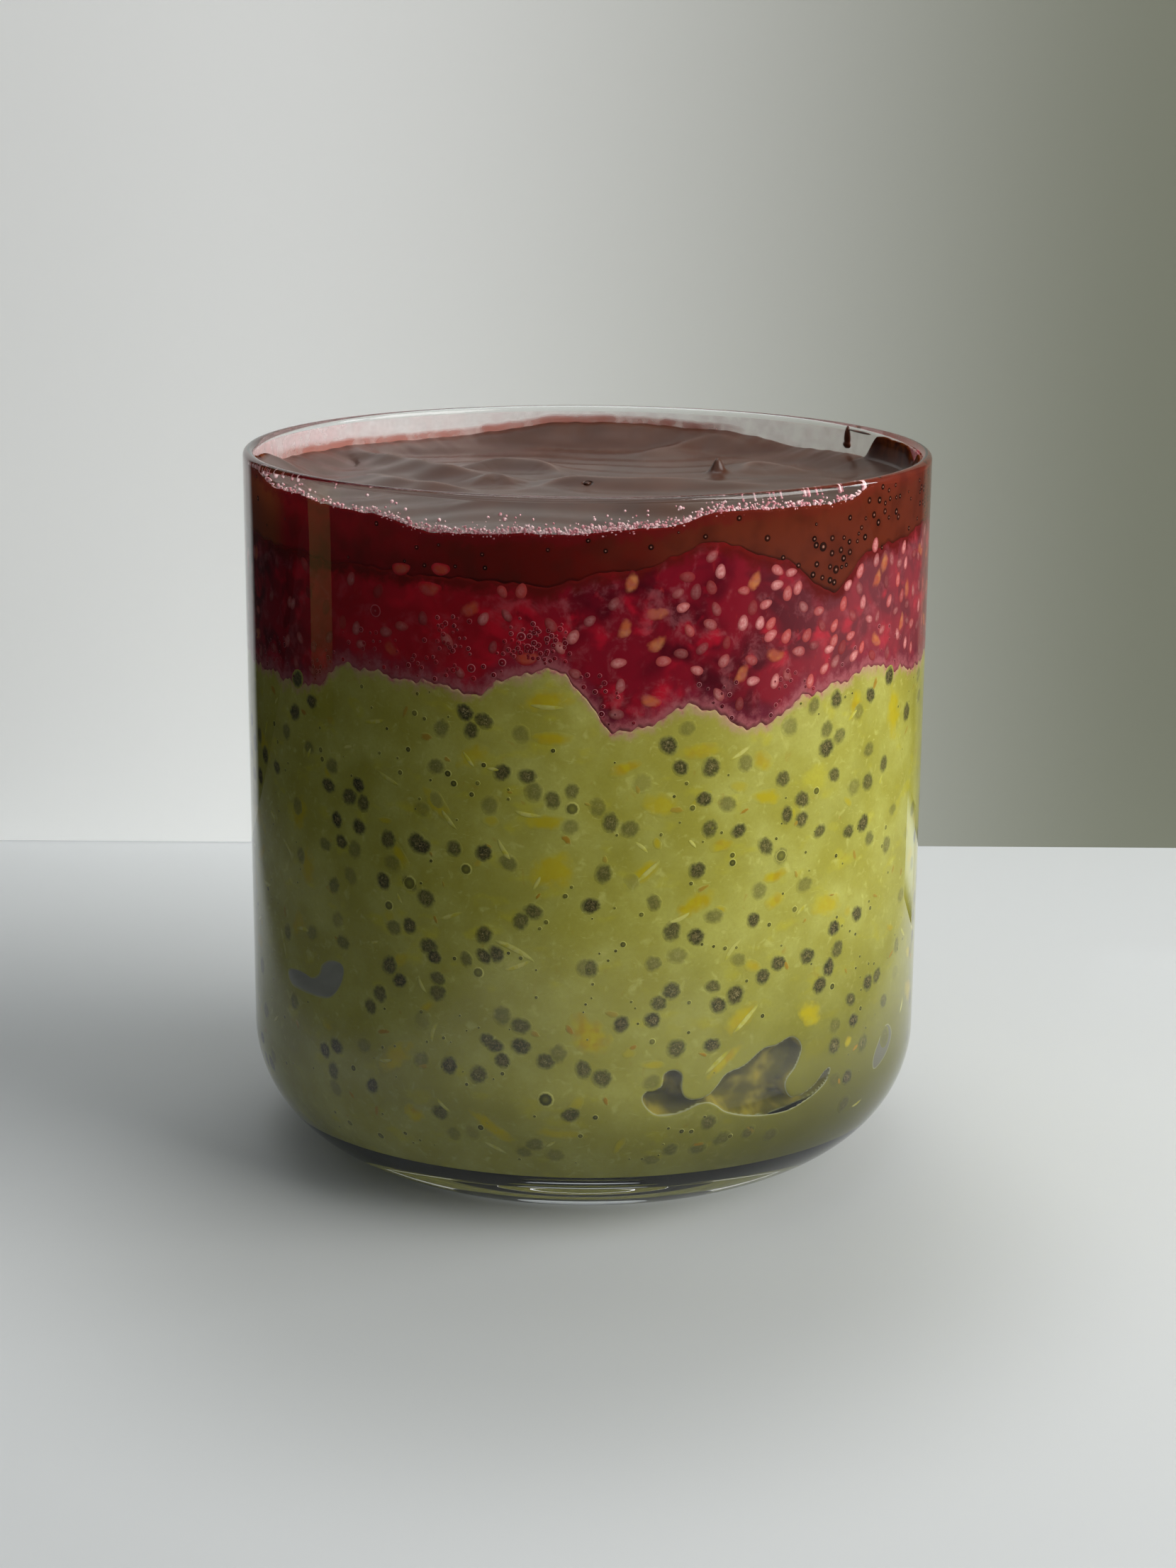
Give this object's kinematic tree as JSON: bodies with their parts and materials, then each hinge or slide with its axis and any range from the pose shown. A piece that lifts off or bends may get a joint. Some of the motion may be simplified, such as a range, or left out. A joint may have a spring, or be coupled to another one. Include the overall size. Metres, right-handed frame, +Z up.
{
  "type": "matcha overnight oats in a glass tumbler",
  "caption": "Layered overnight oats in a clear straight tumbler: matcha oats with chia seeds, mashed raspberry, and a poured chocolate top with soft folds.",
  "frame": {"origin": "middle of the glass's underside, on the surface it stands on", "axes": "+Z up along the glass's axis, -Y towards the side shown in the picture, +X to its right"},
  "size_m": [0.086, 0.086, 0.0893],
  "materials": {
    "glass": "clear, polished",
    "matcha_oats": "thick wet pudding, soft sheen behind glass",
    "raspberry_mash": "wet fruit pulp",
    "chocolate": "set ganache, satin gloss"
  },
  "bodies": {
    "root": {"glass": "glass", "matcha_oats": "matcha_oats", "raspberry_mash": "raspberry_mash", "chocolate": "chocolate"}
  },
  "joints": []
}
